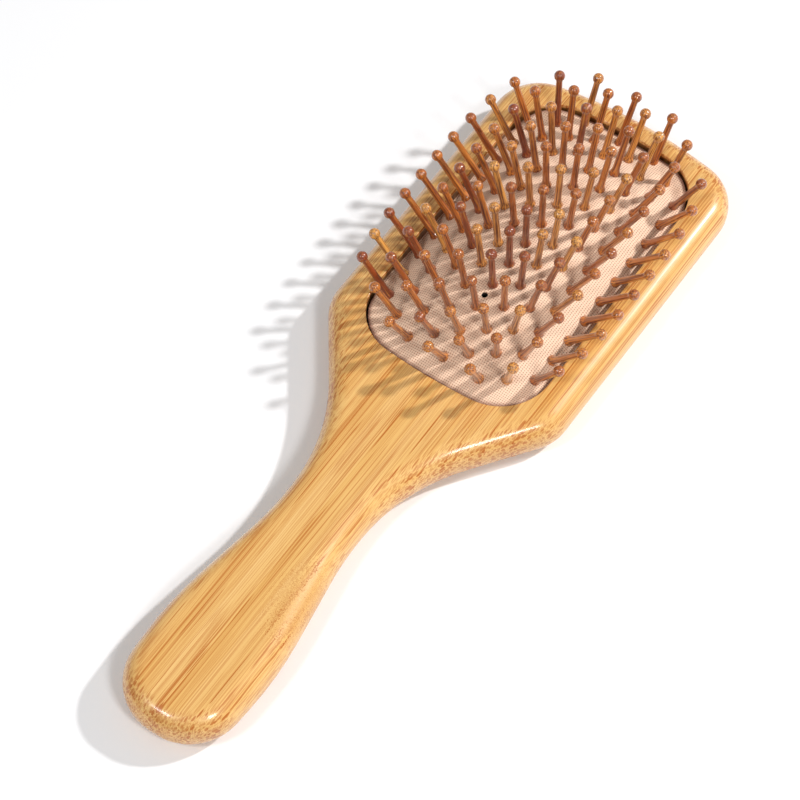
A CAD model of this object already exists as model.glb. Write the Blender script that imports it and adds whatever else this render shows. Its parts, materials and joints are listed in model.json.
import json
import math
import random

import bpy
import numpy as np
from mathutils import Matrix, Vector

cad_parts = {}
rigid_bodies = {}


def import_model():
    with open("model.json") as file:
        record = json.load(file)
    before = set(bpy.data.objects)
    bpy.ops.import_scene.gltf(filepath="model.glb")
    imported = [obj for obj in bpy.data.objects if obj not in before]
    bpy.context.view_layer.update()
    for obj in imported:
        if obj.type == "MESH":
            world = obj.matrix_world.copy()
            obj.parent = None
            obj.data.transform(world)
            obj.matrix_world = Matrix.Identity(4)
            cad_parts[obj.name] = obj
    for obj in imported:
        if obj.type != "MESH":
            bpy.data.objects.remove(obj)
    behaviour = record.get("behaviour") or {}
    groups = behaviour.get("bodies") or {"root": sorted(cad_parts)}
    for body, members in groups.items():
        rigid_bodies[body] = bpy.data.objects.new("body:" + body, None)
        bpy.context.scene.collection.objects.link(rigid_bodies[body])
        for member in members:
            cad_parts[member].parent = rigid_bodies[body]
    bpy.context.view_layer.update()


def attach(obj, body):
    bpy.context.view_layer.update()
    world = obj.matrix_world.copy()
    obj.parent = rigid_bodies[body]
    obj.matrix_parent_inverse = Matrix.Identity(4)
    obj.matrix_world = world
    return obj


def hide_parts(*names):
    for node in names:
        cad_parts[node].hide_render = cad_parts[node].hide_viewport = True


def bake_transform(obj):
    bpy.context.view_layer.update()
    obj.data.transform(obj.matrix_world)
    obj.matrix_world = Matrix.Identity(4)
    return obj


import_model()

mm = 0.001
brushLength = 248.0  # the part's own lengths are kept in mm, measured from the butt
random.seed(4)


def mmPoint(x, y, z):
    return Vector((x, y - brushLength / 2, z)) * mm


# helpers for modelling by operators
def clearSelection():
    if bpy.context.object and bpy.context.object.mode != "OBJECT":
        bpy.ops.object.mode_set(mode="OBJECT")
    bpy.ops.object.select_all(action="DESELECT")


def workOn(piece):
    clearSelection()
    piece.select_set(True)
    bpy.context.view_layer.objects.active = piece


def selectEdges(piece, chosen):
    workOn(piece)
    bpy.ops.object.mode_set(mode="EDIT")
    bpy.ops.mesh.select_mode(type="EDGE")
    bpy.ops.mesh.select_all(action="DESELECT")
    bpy.ops.object.mode_set(mode="OBJECT")
    points = piece.data.vertices
    for edge in piece.data.edges:
        edge.select = chosen(points[edge.vertices[0]].co / mm, points[edge.vertices[1]].co / mm)
    bpy.ops.object.mode_set(mode="EDIT")


def selectFaces(piece, chosen):
    workOn(piece)
    bpy.ops.object.mode_set(mode="EDIT")
    bpy.ops.mesh.select_mode(type="FACE")
    bpy.ops.mesh.select_all(action="DESELECT")
    bpy.ops.object.mode_set(mode="OBJECT")
    for face in piece.data.polygons:
        face.select = chosen(face.center / mm, face.normal)
    bpy.ops.object.mode_set(mode="EDIT")


def modifier(piece, kind, **settings):
    workOn(piece)
    made = piece.modifiers.new(kind.lower(), kind)
    for name, value in settings.items():
        setattr(made, name, value)
    bpy.ops.object.modifier_apply(modifier=made.name)


def cut(piece, cutter):
    modifier(piece, "BOOLEAN", operation="DIFFERENCE", solver="EXACT", object=cutter)
    bpy.data.objects.remove(cutter)


def finishPiece(piece, material, angle=35):
    workOn(piece)
    bpy.ops.object.transform_apply(location=True, rotation=True, scale=True)
    bpy.ops.object.shade_smooth_by_angle(angle=math.radians(angle))
    piece.data.materials.clear()
    piece.data.materials.append(material)


# helpers for materials
def startMaterial(name):
    material = bpy.data.materials.new(name)
    material.use_nodes = True
    tree = material.node_tree
    shader = tree.nodes["Principled BSDF"]
    return material, tree, shader


def feed(tree, socket, value):
    if isinstance(value, bpy.types.NodeSocket):
        tree.links.new(value, socket)
    elif value is not None:
        socket.default_value = value


def calc(tree, operation, a, b=None, c=None, clamp=False):
    made = tree.nodes.new("ShaderNodeMath")
    made.operation = operation
    made.use_clamp = clamp
    for socket, value in zip(made.inputs, (a, b, c)):
        feed(tree, socket, value)
    return made.outputs[0]


def fade(tree, value, low, high, outLow=0.0, outHigh=1.0):
    made = tree.nodes.new("ShaderNodeMapRange")
    made.interpolation_type = "SMOOTHSTEP"
    names = ("Value", "From Min", "From Max", "To Min", "To Max")
    for name, given in zip(names, (value, low, high, outLow, outHigh)):
        feed(tree, made.inputs[name], given)
    return made.outputs["Result"]


def vector(tree, x, y, z):
    made = tree.nodes.new("ShaderNodeCombineXYZ")
    for socket, value in zip(made.inputs, (x, y, z)):
        feed(tree, socket, value)
    return made.outputs[0]


def scaled(tree, places, sizes):
    parts = [calc(tree, "DIVIDE", place, size) for place, size in zip(places, sizes)]
    return vector(tree, *parts, *[0.0] * (3 - len(parts)))


def noise(tree, place, detail=2.0, roughness=0.5):
    made = tree.nodes.new("ShaderNodeTexNoise")
    feed(tree, made.inputs["Vector"], place)
    made.inputs["Scale"].default_value = 1.0
    made.inputs["Detail"].default_value = detail
    made.inputs["Roughness"].default_value = roughness
    return made.outputs["Fac"]


def blendColour(tree, amount, first, second, mode="MIX"):
    made = tree.nodes.new("ShaderNodeMix")
    made.data_type = "RGBA"
    made.blend_type = mode
    feed(tree, made.inputs["Factor"], amount)
    for socket, value in ((made.inputs[6], first), (made.inputs[7], second)):
        feed(tree, socket, value if isinstance(value, bpy.types.NodeSocket) else (*value, 1.0))
    return made.outputs[2]


def millimetres(tree):
    place = tree.nodes.new("ShaderNodeTexCoord").outputs["Object"]
    sized = tree.nodes.new("ShaderNodeMapping")
    tree.links.new(place, sized.inputs["Vector"])
    sized.inputs["Scale"].default_value = (1000, 1000, 1000)
    parts = tree.nodes.new("ShaderNodeSeparateXYZ")
    tree.links.new(sized.outputs[0], parts.inputs[0])
    return parts.outputs[0], parts.outputs[1], parts.outputs[2]


def bumpFrom(tree, shader, height, distance, strength):
    made = tree.nodes.new("ShaderNodeBump")
    tree.links.new(height, made.inputs["Height"])
    made.inputs["Distance"].default_value = distance
    made.inputs["Strength"].default_value = strength
    tree.links.new(made.outputs[0], shader.inputs["Normal"])


# the outlines have the same sizes as in the part's source
body = {
    "thickness": 14.0, "edge": 6.5, "headWidth": 82.0, "gripWidth": 38.4, "waistWidth": 25.2,
    "buttNarrowing": 2.0, "buttCorner": 16.8, "gripAt": 33.0, "gripBow": 110.0,
    "waistAt": 0.3, "waistBow": 90.0, "neckRun": 28.0, "neckWidening": 0.9, "neckBow": 62.0,
    "shoulderAt": 0.564, "shoulder": 15.5, "headCorner": 16.0, "headBow": 6.0, "headEnd": 150.0,
    "edgeSteps": 10, "rimEdge": 0.35,
}
pocket = {
    "width": 61.4, "length": 107.2, "middle": 186.2, "floor": 4.2,
    "bow": 2.0, "corners": (17.0, 16.6), "ends": 150.0,
    "grooveLow": 5.0, "grooveHigh": 7.6, "grooveDepth": 1.6,
}


def outline(corners, inset=0.0, turn=3.0):
    points = []
    count = len(corners)
    for i in range(count):
        before, (x, y, r), after = corners[i - 1], corners[i], corners[(i + 1) % count]
        here = Vector((x, y))
        u = (Vector(before[:2]) - here).normalized()
        v = (Vector(after[:2]) - here).normalized()
        half = u.angle(v) / 2
        side = 1 if v.x * u.y - v.y * u.x > 0 else -1
        centre = here + (u + v).normalized() * r / math.sin(half)
        start = here + u * r / math.tan(half) - centre
        a = math.atan2(start.y, start.x)
        sweep = side * (math.pi - 2 * half)
        steps = max(4, round(abs(math.degrees(sweep)) / turn))
        for k in range(steps + 1):
            b = a + sweep * k / steps
            points.append(centre + Vector((math.cos(b), math.sin(b))) * (r - side * inset))
    return points


def bothSides(side, top, bottom):
    return bottom + side + top + [(-x, y, r) for x, y, r in reversed(side)]


def bodyCorners():
    grip, waist, head = body["gripWidth"] / 2, body["waistWidth"] / 2, body["headWidth"] / 2
    bowTurn = math.atan(head / body["headBow"])
    tip = brushLength + body["headEnd"] * (1 / math.sin(bowTurn) - 1)
    waistY = body["waistAt"] * brushLength
    side = [
        (grip - body["buttNarrowing"], 0, body["buttCorner"]),
        (grip, body["gripAt"], body["gripBow"]),
        (waist, waistY, body["waistBow"]),
        (waist + body["neckWidening"], waistY + body["neckRun"], body["neckBow"]),
        (head, body["shoulderAt"] * brushLength, body["shoulder"]),
        (head, tip - body["headBow"], body["headCorner"]),
    ]
    return bothSides(side, [(0, tip, body["headEnd"])], [])


def pocketCorners():
    near, far = pocket["middle"] - pocket["length"] / 2, pocket["middle"] + pocket["length"] / 2
    side = [(pocket["width"] / 2, near + pocket["bow"], pocket["corners"][0]),
            (pocket["width"] / 2, far - pocket["bow"], pocket["corners"][1])]
    return bothSides(side, [(0, far, pocket["ends"])], [(0, near, pocket["ends"])])


def outlineBlock(name, points, low, high):
    curve = bpy.data.curves.new(name, "CURVE")
    curve.dimensions = "3D"
    line = curve.splines.new("POLY")
    line.points.add(len(points) - 1)
    line.use_cyclic_u = True
    for place, p in zip(line.points, points):
        place.co = (*mmPoint(p.x, p.y, low), 1)
    block = bpy.data.objects.new(name, curve)
    bpy.context.scene.collection.objects.link(block)
    workOn(block)
    bpy.ops.object.convert(target="MESH")
    block = bpy.context.object
    bpy.ops.object.mode_set(mode="EDIT")
    bpy.ops.mesh.select_all(action="SELECT")
    bpy.ops.mesh.remove_doubles(threshold=1e-6)
    bpy.ops.mesh.edge_face_add()
    bpy.ops.mesh.extrude_region_move(TRANSFORM_OT_translate={"value": (0, 0, (high - low) * mm)})
    bpy.ops.mesh.select_all(action="SELECT")
    bpy.ops.mesh.normals_make_consistent(inside=False)
    bpy.ops.object.mode_set(mode="OBJECT")
    return block


bamboo = {
    "light": (0.88, 0.565, 0.22), "ground": (0.74, 0.40, 0.095), "fibre": (0.46, 0.115, 0.001),
    "stripWidth": 5.3, "bundleGap": 0.80, "fineGap": 0.17, "fineLength": 90, "sway": (14, 210, 14),
    "knuckle": (13.2, -71.0, 11.0), "swirl": (2.2, 2.6, 2.2), "broad": (16, 80, 16),
    "wallStain": (0.10, 0.035, 0.008), "roughness": 0.34, "coat": 0.55, "coatRoughness": 0.13,
}


def bambooMaterial():
    material, tree, shader = startMaterial("lacqueredBamboo")
    x, y, z = millimetres(tree)
    sway = tree.nodes.new("ShaderNodeTexNoise")
    tree.links.new(scaled(tree, (x, y, z), bamboo["sway"]), sway.inputs["Vector"])
    sway.inputs["Detail"].default_value = 1.5
    sways = tree.nodes.new("ShaderNodeSeparateColor")
    tree.links.new(sway.outputs["Color"], sways.inputs[0])
    # the knuckle, where the fibres swirl
    kx, ky, reach = bamboo["knuckle"]
    dx = calc(tree, "SUBTRACT", x, kx)
    dy = calc(tree, "MULTIPLY", calc(tree, "SUBTRACT", y, ky), 0.62)
    squares = calc(tree, "ADD", calc(tree, "MULTIPLY", dx, dx), calc(tree, "MULTIPLY", dy, dy))
    away = calc(tree, "SQRT", squares)
    near = fade(tree, away, reach, 1.5)
    swirl = tree.nodes.new("ShaderNodeTexNoise")
    tree.links.new(scaled(tree, (x, y, z), bamboo["swirl"]), swirl.inputs["Vector"])
    swirls = tree.nodes.new("ShaderNodeSeparateColor")
    tree.links.new(swirl.outputs["Color"], swirls.inputs[0])

    def moved(value, channel, slowBy, fastBy):
        a = calc(tree, "MULTIPLY_ADD", calc(tree, "SUBTRACT", sways.outputs[channel], 0.5), slowBy, value)
        fast = calc(tree, "MULTIPLY", near, fastBy)
        return calc(tree, "MULTIPLY_ADD", calc(tree, "SUBTRACT", swirls.outputs[channel], 0.5), fast, a)

    mx = moved(x, 0, 0.5, 5.0)
    mz = moved(z, 1, 1.5, 6.0)
    # laminated strips, each denser with fibre towards its outer skin
    strip = calc(tree, "DIVIDE", calc(tree, "ADD", mx, 100), bamboo["stripWidth"])
    index = calc(tree, "FLOOR", strip)
    across = calc(tree, "FRACT", strip)
    pick = tree.nodes.new("ShaderNodeTexWhiteNoise")
    pick.noise_dimensions = "1D"
    tree.links.new(index, pick.inputs["W"])
    chance = pick.outputs["Value"]
    flipped = calc(tree, "ABSOLUTE", calc(tree, "SUBTRACT", across, calc(tree, "GREATER_THAN", chance, 0.5)))
    density = calc(tree, "POWER", flipped, 1.25)
    # fibre bundles run the length of the brush, so they show as streaks on the flats and as dots on the ends
    cell = tree.nodes.new("ShaderNodeTexVoronoi")
    cell.voronoi_dimensions = "2D"
    cell.inputs["Scale"].default_value = 1.0
    gap = bamboo["bundleGap"]
    cellX = calc(tree, "ADD", calc(tree, "DIVIDE", mx, gap), calc(tree, "MULTIPLY", index, 7.3))
    cellZ = calc(tree, "DIVIDE", mz, gap * 1.15)
    tree.links.new(vector(tree, cellX, cellZ, 0.0), cell.inputs["Vector"])
    ownChance = tree.nodes.new("ShaderNodeSeparateColor")
    tree.links.new(cell.outputs["Color"], ownChance.inputs[0])
    # on the ends the bundles are cut across, so they are bigger and show as dots
    facing = tree.nodes.new("ShaderNodeNewGeometry")
    aim = tree.nodes.new("ShaderNodeSeparateXYZ")
    tree.links.new(facing.outputs["Normal"], aim.inputs[0])
    endGrain = fade(tree, calc(tree, "ABSOLUTE", aim.outputs[1]), 0.10, 0.45)
    size = calc(tree, "MULTIPLY", calc(tree, "MULTIPLY_ADD", density, 0.14, 0.17),
                calc(tree, "MULTIPLY_ADD", ownChance.outputs[0], 0.6, 0.7))
    size = calc(tree, "MULTIPLY_ADD", endGrain, 0.14, size)
    outer, inner = calc(tree, "ADD", size, 0.05), calc(tree, "SUBTRACT", size, 0.03)
    bundle = fade(tree, cell.outputs["Distance"], outer, inner)
    bundle = calc(tree, "MULTIPLY", bundle, calc(tree, "MULTIPLY_ADD", ownChance.outputs[1], 0.5, 0.5))
    bundle = calc(tree, "MULTIPLY", bundle, calc(tree, "MULTIPLY_ADD", density, 0.30, 0.70))
    fineSizes = (bamboo["fineGap"], bamboo["fineLength"], bamboo["fineGap"] * 2.2)
    fine = noise(tree, scaled(tree, (mx, y, mz), fineSizes), 1.5, 0.6)
    fine = fade(tree, fine, 0.46, 0.60)
    broad = noise(tree, scaled(tree, (x, y, z), bamboo["broad"]), 2.0)
    tone = calc(tree, "ADD", calc(tree, "MULTIPLY", chance, 0.28), calc(tree, "MULTIPLY", flipped, 0.25))
    tone = calc(tree, "ADD", tone, calc(tree, "MULTIPLY", broad, 0.5), clamp=True)
    ground = blendColour(tree, tone, bamboo["light"], bamboo["ground"])
    ground = blendColour(tree, calc(tree, "MULTIPLY", fine, 0.50), ground, bamboo["fibre"])
    colour = blendColour(tree, bundle, ground, bamboo["fibre"])
    # the pocket's wall is stained dark below the rim
    wide = fade(tree, calc(tree, "ABSOLUTE", x), pocket["width"] / 2 + 0.6, pocket["width"] / 2 + 0.3)
    long = calc(tree, "ABSOLUTE", calc(tree, "SUBTRACT", y, pocket["middle"] - brushLength / 2))
    long = fade(tree, long, pocket["length"] / 2 + 0.6, pocket["length"] / 2 + 0.3)
    deep = fade(tree, z, body["thickness"] - 0.7, body["thickness"] - 1.6)
    stain = calc(tree, "MULTIPLY", calc(tree, "MULTIPLY", wide, long), deep)
    stain = calc(tree, "MULTIPLY", stain, fade(tree, z, pocket["floor"] - 1, pocket["floor"] - 0.5))
    colour = blendColour(tree, calc(tree, "MULTIPLY", stain, 0.85), colour, bamboo["wallStain"])
    tree.links.new(colour, shader.inputs["Base Color"])
    tree.links.new(calc(tree, "MULTIPLY_ADD", bundle, 0.10, bamboo["roughness"]), shader.inputs["Roughness"])
    shader.inputs["Coat Weight"].default_value = bamboo["coat"]
    shader.inputs["Coat Roughness"].default_value = bamboo["coatRoughness"]
    height = calc(tree, "SUBTRACT", calc(tree, "MULTIPLY", fine, 0.3), bundle)
    bumpFrom(tree, shader, height, 0.00005, 0.35)
    return material


def makeBody():
    piece = outlineBlock("bambooBody", outline(bodyCorners()), 0, body["thickness"])
    top = body["thickness"]
    selectEdges(piece, lambda a, b: abs(a.z - b.z) < 0.01)
    bpy.ops.mesh.bevel(offset=body["edge"] * mm, offset_type="OFFSET", segments=body["edgeSteps"],
                       profile=0.5, clamp_overlap=False)
    selectFaces(piece, lambda place, normal: abs(normal.z) > 0.9999)
    bpy.ops.mesh.inset(thickness=0.3 * mm, depth=0)
    clearSelection()
    corners = pocketCorners()
    cut(piece, outlineBlock("pocketCutter", outline(corners), pocket["floor"], top + 3))
    groove = outline(corners, -pocket["grooveDepth"])
    cut(piece, outlineBlock("grooveCutter", groove, pocket["grooveLow"], pocket["grooveHigh"]))
    rim = [mmPoint(p.x, p.y, 0) / mm for p in outline(corners)]

    def onRim(point):
        return abs(point.z - top) < 0.01 and min((point.xy - r.xy).length for r in rim) < 0.02

    selectEdges(piece, lambda a, b: onRim(a) and onRim(b))
    bpy.ops.mesh.bevel(offset=body["rimEdge"] * mm, segments=3, profile=0.5, clamp_overlap=False)
    clearSelection()
    finishPiece(piece, bambooMaterial())
    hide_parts("bamboo_body")
    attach(piece, "paddle")
    print("bamboo body:", len(piece.data.polygons), "faces")


cushion = {
    "edgeHeight": 8.8, "rise": 11.4, "acrossPower": 2.65, "alongPower": 3.2, "wallGap": 0.6,
    "tuck": 2.3, "tuckFrom": 0.86,
    "skirt": [(0.6, 7.6)], "bead": [(1.4, 7.2), (-1.0, 6.9)], "pressFrom": 11.2, "pressTo": 16.5,
    "cloth": 0.6, "glue": 0.1, "rubber": 1.6, "cells": (64, 110), "swell": 0.35, "swellReach": 3.2,
    "vent": (0.0, 188.3 - 3 * 8.58), "ventWidth": 2.0,
}
pins = {
    "columns": (0, 6.9, 13.1, 19.2, 26.7), "counts": (12, 11, 12, 11, 10), "pulls": (0, 0.7, 0.5, -0.4, 0.7),
    "pitch": 8.58, "outerShare": 0.976, "middle": 188.3, "length": 17.6, "ball": 1.74, "sides": 16,
    "shaft": [(0, -3.3), (1.7, -3.3), (1.7, -2.5), (1.0, -2.5), (1.0, 0.1), (1.62, 0.12), (1.72, 0.5),
              (1.5, 1.1), (1.24, 1.9), (1.12, 3.0), (1.03, 9.5), (0.97, 15.4)],
    "tone": 0.50, "toneSpread": 0.24,
}


def domeHeight(x, y):
    a = pocket["width"] / 2 - cushion["wallGap"]
    b = pocket["length"] / 2 - cushion["wallGap"]
    u = min(abs(x / a), 1) ** cushion["acrossPower"]
    v = min(abs((y - pocket["middle"]) / b), 1) ** cushion["alongPower"]
    return cushion["edgeHeight"] + cushion["rise"] * (1 - u) * (1 - v)


def domeNormal(x, y):
    d = 0.01
    slopeX = (domeHeight(x + d, y) - domeHeight(x - d, y)) / (2 * d)
    slopeY = (domeHeight(x, y + d) - domeHeight(x, y - d)) / (2 * d)
    return Vector((-slopeX, -slopeY, 1)).normalized()


def pinFoot(column, i):
    k = abs(column)
    u = 2 * i / (pins["counts"][k] - 1) - 1
    pitch = pins["pitch"] * (pins["outerShare"] if k == 4 else 1)
    side = (column > 0) - (column < 0)
    return (side * (pins["columns"][k] - pins["pulls"][k] * u ** 4),
            pins["middle"] + u * (pins["counts"][k] - 1) / 2 * pitch)


feet = [pinFoot(column, i) for column in range(-4, 5) for i in range(pins["counts"][abs(column)])]


def domeSheet(name, depth):
    across, along = cushion["cells"]
    clearSelection()
    bpy.ops.mesh.primitive_grid_add(x_subdivisions=across, y_subdivisions=along, size=2)
    piece = bpy.context.object
    piece.name = name
    edge = outline(pocketCorners(), cushion["wallGap"], 2.0)
    centre = Vector((0, pocket["middle"]))
    a, b = pocket["width"] / 2 - cushion["wallGap"], pocket["length"] / 2 - cushion["wallGap"]
    angles = np.array([math.atan2((p.y - centre.y) / b, p.x / a) for p in edge])
    reaches = np.array([math.hypot(p.x / a, (p.y - centre.y) / b) for p in edge])
    order = np.argsort(angles)
    angles, reaches = angles[order], reaches[order]
    angles = np.concatenate([angles[-1:] - 2 * math.pi, angles, angles[:1] + 2 * math.pi])
    reaches = np.concatenate([reaches[-1:], reaches, reaches[:1]])
    footArray = np.array(feet)
    hem = piece.data.attributes.new("hem", "FLOAT", "POINT")
    for vertex, edgeShare in zip(piece.data.vertices, hem.data):
        u, v = vertex.co.x, vertex.co.y
        level = max(abs(u), abs(v))
        far = np.interp(math.atan2(v, u), angles, reaches)
        long = math.hypot(u, v)
        roundU, roundV = (u / long * far * level, v / long * far * level) if long > 1e-9 else (0, 0)
        w = level ** 3
        x = a * (u * (1 - w) + roundU * w)
        y = centre.y + b * (v * (1 - w) + roundV * w)
        normal = domeNormal(x, y)
        gap = np.min(np.hypot(footArray[:, 0] - x, footArray[:, 1] - y))
        puff = cushion["swell"] * (min(gap / cushion["swellReach"], 1) ** 2) * min(1, (1 - level) * 6)
        edgeShare.value = level
        # the outermost strip turns level, so the edge shows just below the rim
        level = min(max((level - cushion["tuckFrom"]) / (1 - cushion["tuckFrom"]), 0), 1)
        lift = cushion["tuck"] * level ** 2 * (3 - 2 * level)
        vertex.co = mmPoint(x, y, domeHeight(x, y) + lift) + normal * (puff - depth) * mm
    return piece


def extrudeRim(piece, steps):
    # each step is an inset from the pocket's outline and a height, and extrudes the open edge once more
    workOn(piece)
    bpy.ops.object.mode_set(mode="EDIT")
    bpy.ops.mesh.select_all(action="SELECT")
    bpy.ops.mesh.region_to_loop()
    for inset, height in steps:
        bpy.ops.mesh.extrude_region_move(TRANSFORM_OT_translate={"value": (0, 0, 0)})
        bpy.ops.object.mode_set(mode="OBJECT")
        ring = [v for v in piece.data.vertices if v.select]
        edge = outline(pocketCorners(), inset, 1.0)
        edgeArray = np.array([[p.x, p.y - brushLength / 2] for p in edge]) * mm
        following = np.roll(edgeArray, -1, axis=0)
        run = following - edgeArray
        for v in ring:
            p = np.array([v.co.x, v.co.y])
            t = np.clip(np.sum((p - edgeArray) * run, 1) / np.maximum(np.sum(run * run, 1), 1e-18), 0, 1)
            near = edgeArray + run * t[:, None]
            best = near[np.argmin(np.sum((near - p) ** 2, 1))]
            v.co = (best[0], best[1], height * mm)
        bpy.ops.object.mode_set(mode="EDIT")
    bpy.ops.object.mode_set(mode="OBJECT")


def ventCutter():
    x, y = cushion["vent"]
    clearSelection()
    bpy.ops.mesh.primitive_cylinder_add(vertices=20, radius=cushion["ventWidth"] / 2 * mm, depth=12 * mm,
                                        location=mmPoint(x, y, domeHeight(x, y)))
    cutter = bpy.context.object
    cutter.rotation_mode = "QUATERNION"
    cutter.rotation_quaternion = domeNormal(x, y).to_track_quat("Z", "Y")
    return cutter


cloth = {
    "thread": (0.94, 0.69, 0.51), "shaded": (0.88, 0.60, 0.41), "gap": (0.46, 0.19, 0.095),
    "hem": (0.22, 0.075, 0.045), "slub": 0.5, "drift": 12, "patch": 18,
    "pitch": 0.72, "roughness": 0.82, "sheen": 0.12,
}


def clothMaterial():
    material, tree, shader = startMaterial("wovenBeigeCloth")
    x, y, z = millimetres(tree)
    drift = noise(tree, scaled(tree, (x, y), (cloth["drift"],) * 2), 2.0)
    wx = calc(tree, "MULTIPLY_ADD", drift, 0.7, x)
    wy = calc(tree, "MULTIPLY_ADD", drift, -0.7, y)
    warp = calc(tree, "ABSOLUTE", calc(tree, "SINE", calc(tree, "MULTIPLY", wx, math.pi / cloth["pitch"])))
    weft = calc(tree, "ABSOLUTE", calc(tree, "SINE", calc(tree, "MULTIPLY", wy, math.pi / cloth["pitch"])))
    hollow = fade(tree, calc(tree, "MULTIPLY", warp, weft), 0.48, 0.86)
    slub = noise(tree, scaled(tree, (x, y), (cloth["slub"],) * 2), 3.0)
    hollow = calc(tree, "MULTIPLY", hollow, calc(tree, "MULTIPLY_ADD", slub, 0.7, 0.5), clamp=True)
    patch = noise(tree, scaled(tree, (x, y, z), (cloth["patch"],) * 3), 3.0)
    thread = blendColour(tree, calc(tree, "MULTIPLY", patch, 0.35), cloth["thread"], cloth["shaded"])
    colour = blendColour(tree, calc(tree, "MULTIPLY", hollow, 0.85), thread, cloth["gap"])
    hem = tree.nodes.new("ShaderNodeAttribute")
    hem.attribute_name = "hem"
    colour = blendColour(tree, fade(tree, hem.outputs["Fac"], 0.955, 1.0, 0.0, 0.8), colour, cloth["hem"])
    tree.links.new(colour, shader.inputs["Base Color"])
    shader.inputs["Roughness"].default_value = cloth["roughness"]
    shader.inputs["Sheen Weight"].default_value = cloth["sheen"]
    shader.inputs["Sheen Roughness"].default_value = 0.4
    bumpFrom(tree, shader, calc(tree, "SUBTRACT", calc(tree, "MULTIPLY", slub, 0.25), hollow), 0.0002, 0.7)
    return material


rubber = {"dark": (0.018, 0.016, 0.015), "dusty": (0.045, 0.036, 0.030), "grime": 3}


def rubberMaterial():
    material, tree, shader = startMaterial("blackRubber")
    x, y, z = millimetres(tree)
    grime = noise(tree, scaled(tree, (x, y, z), (rubber["grime"],) * 3), 4.0)
    colour = blendColour(tree, grime, rubber["dark"], rubber["dusty"])
    tree.links.new(colour, shader.inputs["Base Color"])
    tree.links.new(calc(tree, "MULTIPLY_ADD", grime, 0.2, 0.5), shader.inputs["Roughness"])
    bumpFrom(tree, shader, grime, 0.0001, 0.3)
    return material


def makeCushion():
    facing = domeSheet("cushionCloth", 0)
    extrudeRim(facing, cushion["skirt"])
    modifier(facing, "SOLIDIFY", thickness=cushion["cloth"] * mm, offset=-1)
    cut(facing, ventCutter())
    finishPiece(facing, clothMaterial(), 60)
    shell = domeSheet("cushionRubber", cushion["cloth"] + cushion["glue"])
    extrudeRim(shell, cushion["bead"])
    modifier(shell, "SOLIDIFY", thickness=(cushion["rubber"] - cushion["glue"]) * mm, offset=-1)
    cut(shell, ventCutter())
    finishPiece(shell, rubberMaterial(), 50)
    for piece, node in ((facing, "cushion_cloth"), (shell, "cushion_rubber")):
        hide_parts(node)
        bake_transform(piece)


pinWood = {
    "dark": (0.30, 0.050, 0.003), "middle": (0.58, 0.165, 0.014), "pale": (0.80, 0.37, 0.070),
    "streak": (0.130, 0.016, 0.001), "grain": (0.42, 0.42, 14), "vessel": 0.62, "paleStreak": (0.9, 0.9, 9),
    "roughness": 0.5, "coat": 1.0, "coatRoughness": 0.09, "coatIor": 1.65,
}


def pinMaterial():
    material, tree, shader = startMaterial("turnedPinWood")
    own = tree.nodes.new("ShaderNodeAttribute")
    own.attribute_name = "pinPlace"
    parts = tree.nodes.new("ShaderNodeSeparateXYZ")
    tree.links.new(own.outputs["Vector"], parts.inputs[0])
    x, y, z = parts.outputs
    shade = tree.nodes.new("ShaderNodeAttribute")
    shade.attribute_name = "pinTone"
    tone = shade.outputs["Fac"]
    base = blendColour(tree, fade(tree, tone, 0.0, 0.55), pinWood["dark"], pinWood["middle"])
    base = blendColour(tree, fade(tree, tone, 0.45, 1.0), base, pinWood["pale"])
    grain = noise(tree, scaled(tree, (x, y, z), pinWood["grain"]), 3.0, 0.65)
    streak = fade(tree, grain, 0.48, 0.60)
    cell = tree.nodes.new("ShaderNodeTexVoronoi")
    cell.voronoi_dimensions = "2D"
    cell.inputs["Scale"].default_value = 1.0
    tree.links.new(scaled(tree, (x, y), (pinWood["vessel"],) * 2), cell.inputs["Vector"])
    vessel = fade(tree, cell.outputs["Distance"], 0.34, 0.16)
    light = noise(tree, scaled(tree, (x, y, z), pinWood["paleStreak"]), 1.0)
    colour = blendColour(tree, fade(tree, light, 0.5, 0.75, 0.0, 0.45), base, pinWood["pale"])
    colour = blendColour(tree, calc(tree, "MULTIPLY", streak, 0.8), colour, pinWood["streak"])
    colour = blendColour(tree, calc(tree, "MULTIPLY", vessel, 0.7), colour, pinWood["streak"])
    tree.links.new(colour, shader.inputs["Base Color"])
    tree.links.new(calc(tree, "MULTIPLY_ADD", streak, 0.12, pinWood["roughness"]), shader.inputs["Roughness"])
    shader.inputs["Coat Weight"].default_value = pinWood["coat"]
    shader.inputs["Coat Roughness"].default_value = pinWood["coatRoughness"]
    shader.inputs["Coat IOR"].default_value = pinWood["coatIor"]
    bumpFrom(tree, shader, calc(tree, "SUBTRACT", 1.0, streak), 0.00006, 0.4)
    return material


def pinProfile():
    length, ball = pins["length"], pins["ball"]
    line = list(pins["shaft"])
    start = math.degrees(math.asin(line[-1][0] / ball))
    for angle in (start + 3, 60, 84, 108, 132, 156):
        line.append((ball * math.sin(math.radians(angle)), length - ball * math.cos(math.radians(angle))))
    line.append((0, length + ball))
    return line


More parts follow.
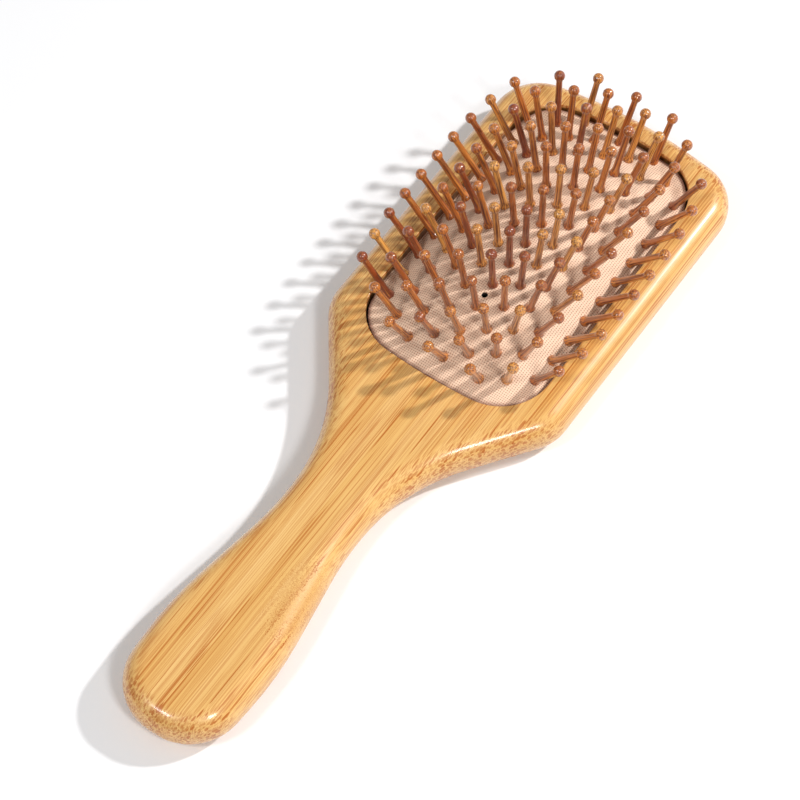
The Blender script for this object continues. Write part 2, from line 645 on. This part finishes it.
def turnPin():
    clearSelection()
    bpy.ops.mesh.primitive_plane_add(size=1 * mm)
    piece = bpy.context.object
    piece.name = "masterPin"
    bpy.ops.object.mode_set(mode="EDIT")
    bpy.ops.mesh.select_mode(type="VERT")
    bpy.ops.mesh.select_all(action="SELECT")
    bpy.ops.mesh.merge(type="CENTER")
    line = pinProfile()
    bpy.ops.transform.translate(value=(line[0][0] * mm, 0, line[0][1] * mm))
    for (r0, z0), (r1, z1) in zip(line, line[1:]):
        step = ((r1 - r0) * mm, 0, (z1 - z0) * mm)
        bpy.ops.mesh.extrude_region_move(TRANSFORM_OT_translate={"value": step})
    bpy.ops.mesh.select_all(action="SELECT")
    bpy.ops.mesh.spin(steps=pins["sides"], angle=2 * math.pi, center=(0, 0, 0), axis=(0, 0, 1))
    bpy.ops.mesh.select_all(action="SELECT")
    bpy.ops.mesh.remove_doubles(threshold=1e-6)
    bpy.ops.mesh.normals_make_consistent(inside=False)
    bpy.ops.object.mode_set(mode="OBJECT")
    bpy.ops.object.shade_smooth_by_angle(angle=math.radians(50))
    place = piece.data.attributes.new("pinPlace", "FLOAT_VECTOR", "POINT")
    for vertex, value in zip(piece.data.vertices, place.data):
        value.vector = vertex.co / mm
    piece.data.attributes.new("pinTone", "FLOAT", "POINT")
    return piece


def pinGroups():
    groups = {"pins_near_row": [(c, 0) for c in (-3, -2, 0, 2, 3)],
              "pins_far_row": [(c, pins["counts"][abs(c)] - 1) for c in (-3, -2, 0, 2, 3)]}
    for side, word in ((-4, "left"), (4, "right")):
        for zone, run in (("near", range(0, 3)), ("middle", range(3, 7)), ("far", range(7, 10))):
            groups[f"pins_{word}_outer_{zone}"] = [(side, i) for i in run]
    words = ("left_3", "left_2", "left_1", "centre", "right_1", "right_2", "right_3")
    for column, word in zip(range(-3, 4), words):
        count = pins["counts"][abs(column)]
        ends = 0 if abs(column) == 1 else 1
        half = -(-count // 2)
        groups[f"pins_{word}_near"] = [(column, i) for i in range(ends, half)]
        groups[f"pins_{word}_far"] = [(column, i) for i in range(half, count - ends)]
    return groups


def makePins():
    master = turnPin()
    material = pinMaterial()
    groups, faces = pinGroups(), 0
    for node, members in groups.items():
        copies = []
        for column, i in members:
            x, y = pinFoot(column, i)
            copy = master.copy()
            copy.data = master.data.copy()
            bpy.context.scene.collection.objects.link(copy)
            shift = Vector((random.uniform(-40, 40), random.uniform(-40, 40), random.uniform(-9, 9)))
            tone = min(max(random.gauss(pins["tone"], pins["toneSpread"]), 0.05), 0.97)
            for value in copy.data.attributes["pinPlace"].data:
                value.vector = value.vector + shift
            for value in copy.data.attributes["pinTone"].data:
                value.value = tone
            turn = Matrix.Rotation(random.uniform(0, 2 * math.pi), 4, "Z")
            stand = domeNormal(x, y).to_track_quat("Z", "Y").to_matrix().to_4x4()
            copy.matrix_world = Matrix.Translation(mmPoint(x, y, domeHeight(x, y))) @ stand @ turn
            copies.append(copy)
        clearSelection()
        for copy in copies:
            copy.select_set(True)
        bpy.context.view_layer.objects.active = copies[0]
        bpy.ops.object.join()
        piece = bpy.context.object
        piece.name = node.replace("pins_", "") + "_pins"
        workOn(piece)
        bpy.ops.object.transform_apply(location=True, rotation=True, scale=True)
        piece.data.materials.clear()
        piece.data.materials.append(material)
        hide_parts(node)
        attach(piece, node.replace("pins_", "") + "_pins")
        faces += len(piece.data.polygons)
    bpy.data.objects.remove(master)
    print("pins:", faces, "faces in", len(groups), "groups")


studio = {
    "floor": (0.92, 0.92, 0.93), "sky": (1.0, 1.0, 1.0), "skyStrength": 0.30,
    "key": {"place": (650, 850, 900), "size": 0.08, "power": 13.8},
    "right": {"place": (735, -300, 930), "size": 0.20, "power": 4.6},
    "front": {"place": (-250, -650, 930), "size": 0.20, "power": 3.6},
    "lens": 125.54, "eye": (244.312, -336.681, 709.201),
    "axes": ((0.817485, 0.575815, -0.012463), (-0.489270, 0.705708, 0.512437),
             (0.303864, -0.412811, 0.858635)),
}


def makeStudio():
    clearSelection()
    bpy.ops.mesh.primitive_plane_add(size=6, location=(0, 0, -0.0002))
    floor = bpy.context.object
    floor.name = "floor"
    material, tree, shader = startMaterial("paleFloor")
    shader.inputs["Base Color"].default_value = (*studio["floor"], 1)
    shader.inputs["Roughness"].default_value = 0.9
    shader.inputs["Specular IOR Level"].default_value = 0.1
    floor.data.materials.append(material)
    world = bpy.data.worlds.new("studio")
    world.use_nodes = True
    world.node_tree.nodes["Background"].inputs[0].default_value = (*studio["sky"], 1)
    world.node_tree.nodes["Background"].inputs[1].default_value = studio["skyStrength"]
    bpy.context.scene.world = world
    for name in ("key", "right", "front"):
        light = studio[name]
        lamp = bpy.data.lights.new(name, "AREA")
        lamp.shape = "DISK" if name == "key" else "SQUARE"
        lamp.size = light["size"]
        lamp.energy = light["power"]
        stand = bpy.data.objects.new(name, lamp)
        stand.location = Vector(light["place"]) * mm
        stand.rotation_mode = "QUATERNION"
        stand.rotation_quaternion = (stand.location - Vector((0, 0.02, 0.01))).to_track_quat("Z", "Y")
        bpy.context.scene.collection.objects.link(stand)
    camera = bpy.data.objects.new("camera", bpy.data.cameras.new("camera"))
    camera.data.lens = studio["lens"]
    camera.data.sensor_width = 36
    camera.data.clip_start = 0.05
    turned = Matrix(studio["axes"]).transposed().to_4x4()
    camera.matrix_world = Matrix.Translation(Vector(studio["eye"]) * mm) @ turned
    bpy.context.scene.collection.objects.link(camera)
    bpy.context.scene.camera = camera
    bpy.context.scene.view_settings.view_transform = "Standard"
    print("studio ready")


makeStudio()
makeBody()
makeCushion()
makePins()
